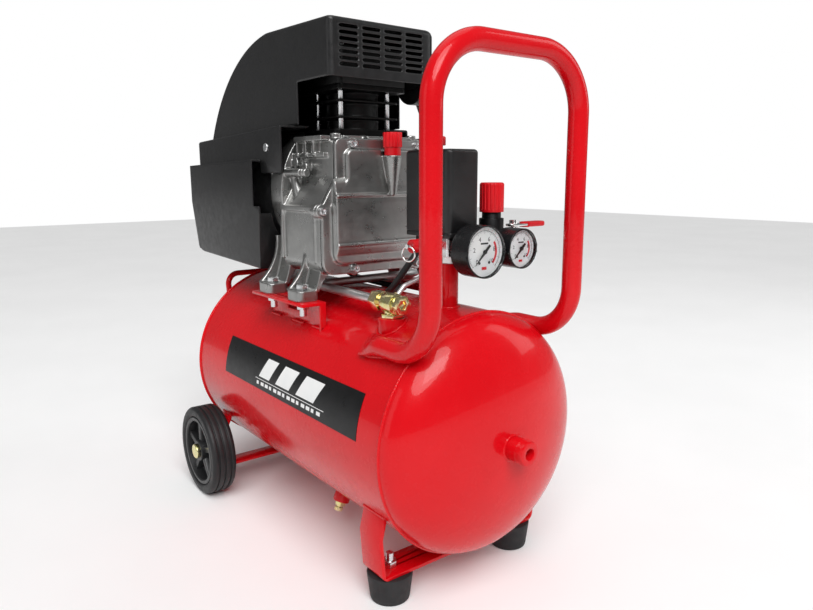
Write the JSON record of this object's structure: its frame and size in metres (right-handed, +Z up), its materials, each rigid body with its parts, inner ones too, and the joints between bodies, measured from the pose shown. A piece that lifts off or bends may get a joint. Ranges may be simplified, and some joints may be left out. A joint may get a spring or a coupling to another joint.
{
  "type": "air compressor",
  "caption": "Horizontal-tank direct-drive air compressor with a piston pump under a plastic shroud, gauges, regulator, pull handle, rear wheels and rubber front feet.",
  "frame": {"origin": "bottom centre of the machine's bounding box, on the floor it stands on", "axes": "+X to the machine's right seen from the front (handle end), +Y from the handle end to the wheel end along the tank, +Z up"},
  "size_m": [0.314, 0.572, 0.593],
  "materials": {
    "tank_paint": "gloss red powder coat",
    "label_film": "black vinyl film",
    "black_plastic": "fine-grained black moulded plastic",
    "wheel_plastic": "black moulded plastic",
    "tyre": "black rubber tread",
    "foot_rubber": "matt black rubber",
    "cast_aluminium": "die-cast, as moulded",
    "black_iron": "black stove enamel",
    "zinc_steel": "bright zinc plate",
    "yellow_zinc": "yellow passivated zinc",
    "brass": "machined brass",
    "pipe_aluminium": "drawn tube",
    "red_plastic": "moulded red plastic",
    "black_zinc": "black painted die casting",
    "gauge_black": "gloss black case",
    "dial_white": "printed white dial",
    "needle_black": "black pointer",
    "lens": "clear lens",
    "chrome": "nickel plate",
    "lamination_steel": "laminated steel",
    "machined_steel": "ground steel",
    "gasket": "black fibre gasket",
    "cable": "black sheath"
  },
  "bodies": {
    "machine": {"axle_bolts": "yellow_zinc", "axle_bracket": "tank_paint", "check_valve": "brass", "cover_gasket": "gasket", "crankcase": "cast_aluminium", "crankcase_cover": "cast_aluminium", "cylinder": "black_iron", "cylinder_head": "black_iron", "cylinder_studs": "zinc_steel", "discharge_nuts": "brass", "discharge_pipe": "pipe_aluminium", "drain_valve_body": "brass", "fan_cover": "black_plastic", "front_dished_end": "tank_paint", "front_foot_bracket": "tank_paint", "gauge_cases": "gauge_black", "gauge_dials": "dial_white", "gauge_lenses": "lens", "handle_tube": "tank_paint", "hex_nuts": "zinc_steel", "housing_screws": "zinc_steel", "intake_filter": "black_plastic", "motor_end_cap": "cast_aluminium", "motor_lead": "cable", "mount_bolts": "zinc_steel", "outlet_valve_body": "chrome", "pressure_switch_base": "black_plastic", "pressure_switch_cover": "black_plastic", "pump_saddles": "tank_paint", "rear_dished_end": "tank_paint", "rear_grip_rod": "tank_paint", "regulator_body": "black_zinc", "rubber_feet": "foot_rubber", "safety_valve_body": "red_plastic", "shaft_bearings": "machined_steel", "shroud": "black_plastic", "side_label": "label_film", "stator": "lamination_steel", "switch_manifold": "zinc_steel", "tank_bungs": "tank_paint", "tank_shell": "tank_paint", "unloader_tube": "pipe_aluminium"},
    "crank": {"crankshaft": "machined_steel", "rotor": "lamination_steel", "fan": "black_plastic"},
    "piston": {"piston": "pipe_aluminium"},
    "rod": {"connecting_rod": "pipe_aluminium"},
    "left_wheel": {"wheel_rim_left": "wheel_plastic", "wheel_tyre_left": "tyre"},
    "right_wheel": {"wheel_rim_right": "wheel_plastic", "wheel_tyre_right": "tyre"},
    "regulator_knob": {"regulator_knob": "red_plastic"},
    "outlet_lever": {"outlet_valve_lever": "chrome", "lever_grip": "red_plastic"},
    "switch_knob": {"switch_knob": "red_plastic"},
    "safety_ring": {"safety_valve_ring": "chrome"},
    "drain_screw": {"drain_screw": "brass"},
    "oil_plug": {"oil_filler_plug": "red_plastic"},
    "tank_needle": {"tank_gauge_needle": "needle_black"},
    "outlet_needle": {"outlet_gauge_needle": "needle_black"}
  },
  "joints": [
    {"name": "crank_spin", "type": "hinge", "parent": "machine", "child": "crank", "pos_m": [0, 0.024, 0.408], "axis": [0, 1, 0], "continuous": true},
    {"name": "piston_slide", "type": "slide", "parent": "machine", "child": "piston", "axis": [0, 0, 1], "range_m": [0, 0.038]},
    {"name": "rod_swing", "type": "hinge", "parent": "piston", "child": "rod", "pos_m": [0, 0.009, 0.473], "axis": [0, 1, 0], "range_deg": [-13, 13]},
    {"name": "left_wheel_spin", "type": "hinge", "parent": "machine", "child": "left_wheel", "pos_m": [-0.1375, 0.174, 0.0595], "axis": [1, 0, 0], "continuous": true},
    {"name": "right_wheel_spin", "type": "hinge", "parent": "machine", "child": "right_wheel", "pos_m": [0.1375, 0.174, 0.0595], "axis": [1, 0, 0], "continuous": true},
    {"name": "regulator_knob_turn", "type": "hinge", "parent": "machine", "child": "regulator_knob", "pos_m": [0.053, -0.174, 0.4], "axis": [0, 0, 1], "range_deg": [-1080, 0]},
    {"name": "outlet_lever_turn", "type": "hinge", "parent": "machine", "child": "outlet_lever", "pos_m": [0.086, -0.174, 0.372], "axis": [0, 0, 1], "range_deg": [0, 90]},
    {"name": "switch_knob_pull", "type": "slide", "parent": "machine", "child": "switch_knob", "axis": [0, 0, 1], "range_m": [0, 0.006]},
    {"name": "safety_ring_pull", "type": "slide", "parent": "machine", "child": "safety_ring", "axis": [-1, 0, 0], "range_m": [0, 0.003], "stiffness_N_per_m": 500},
    {"name": "drain_screw_turn", "type": "hinge", "parent": "machine", "child": "drain_screw", "pos_m": [-0.0574, -0.033, 0.02942], "axis": [-0.3827, 0, -0.9239], "range_deg": [0, 720]},
    {"name": "oil_plug_lift", "type": "slide", "parent": "machine", "child": "oil_plug", "axis": [0, 0, 1], "range_m": [0, 0.025]},
    {"name": "tank_needle_turn", "type": "hinge", "parent": "machine", "child": "tank_needle", "pos_m": [0.004, -0.2164, 0.353], "axis": [0, 1, 0], "range_deg": [0, 270], "stiffness_Nm_per_rad": 0.0001},
    {"name": "outlet_needle_turn", "type": "hinge", "parent": "machine", "child": "outlet_needle", "pos_m": [0.055, -0.2164, 0.353], "axis": [0, 1, 0], "range_deg": [0, 270], "stiffness_Nm_per_rad": 0.0001}
  ]
}
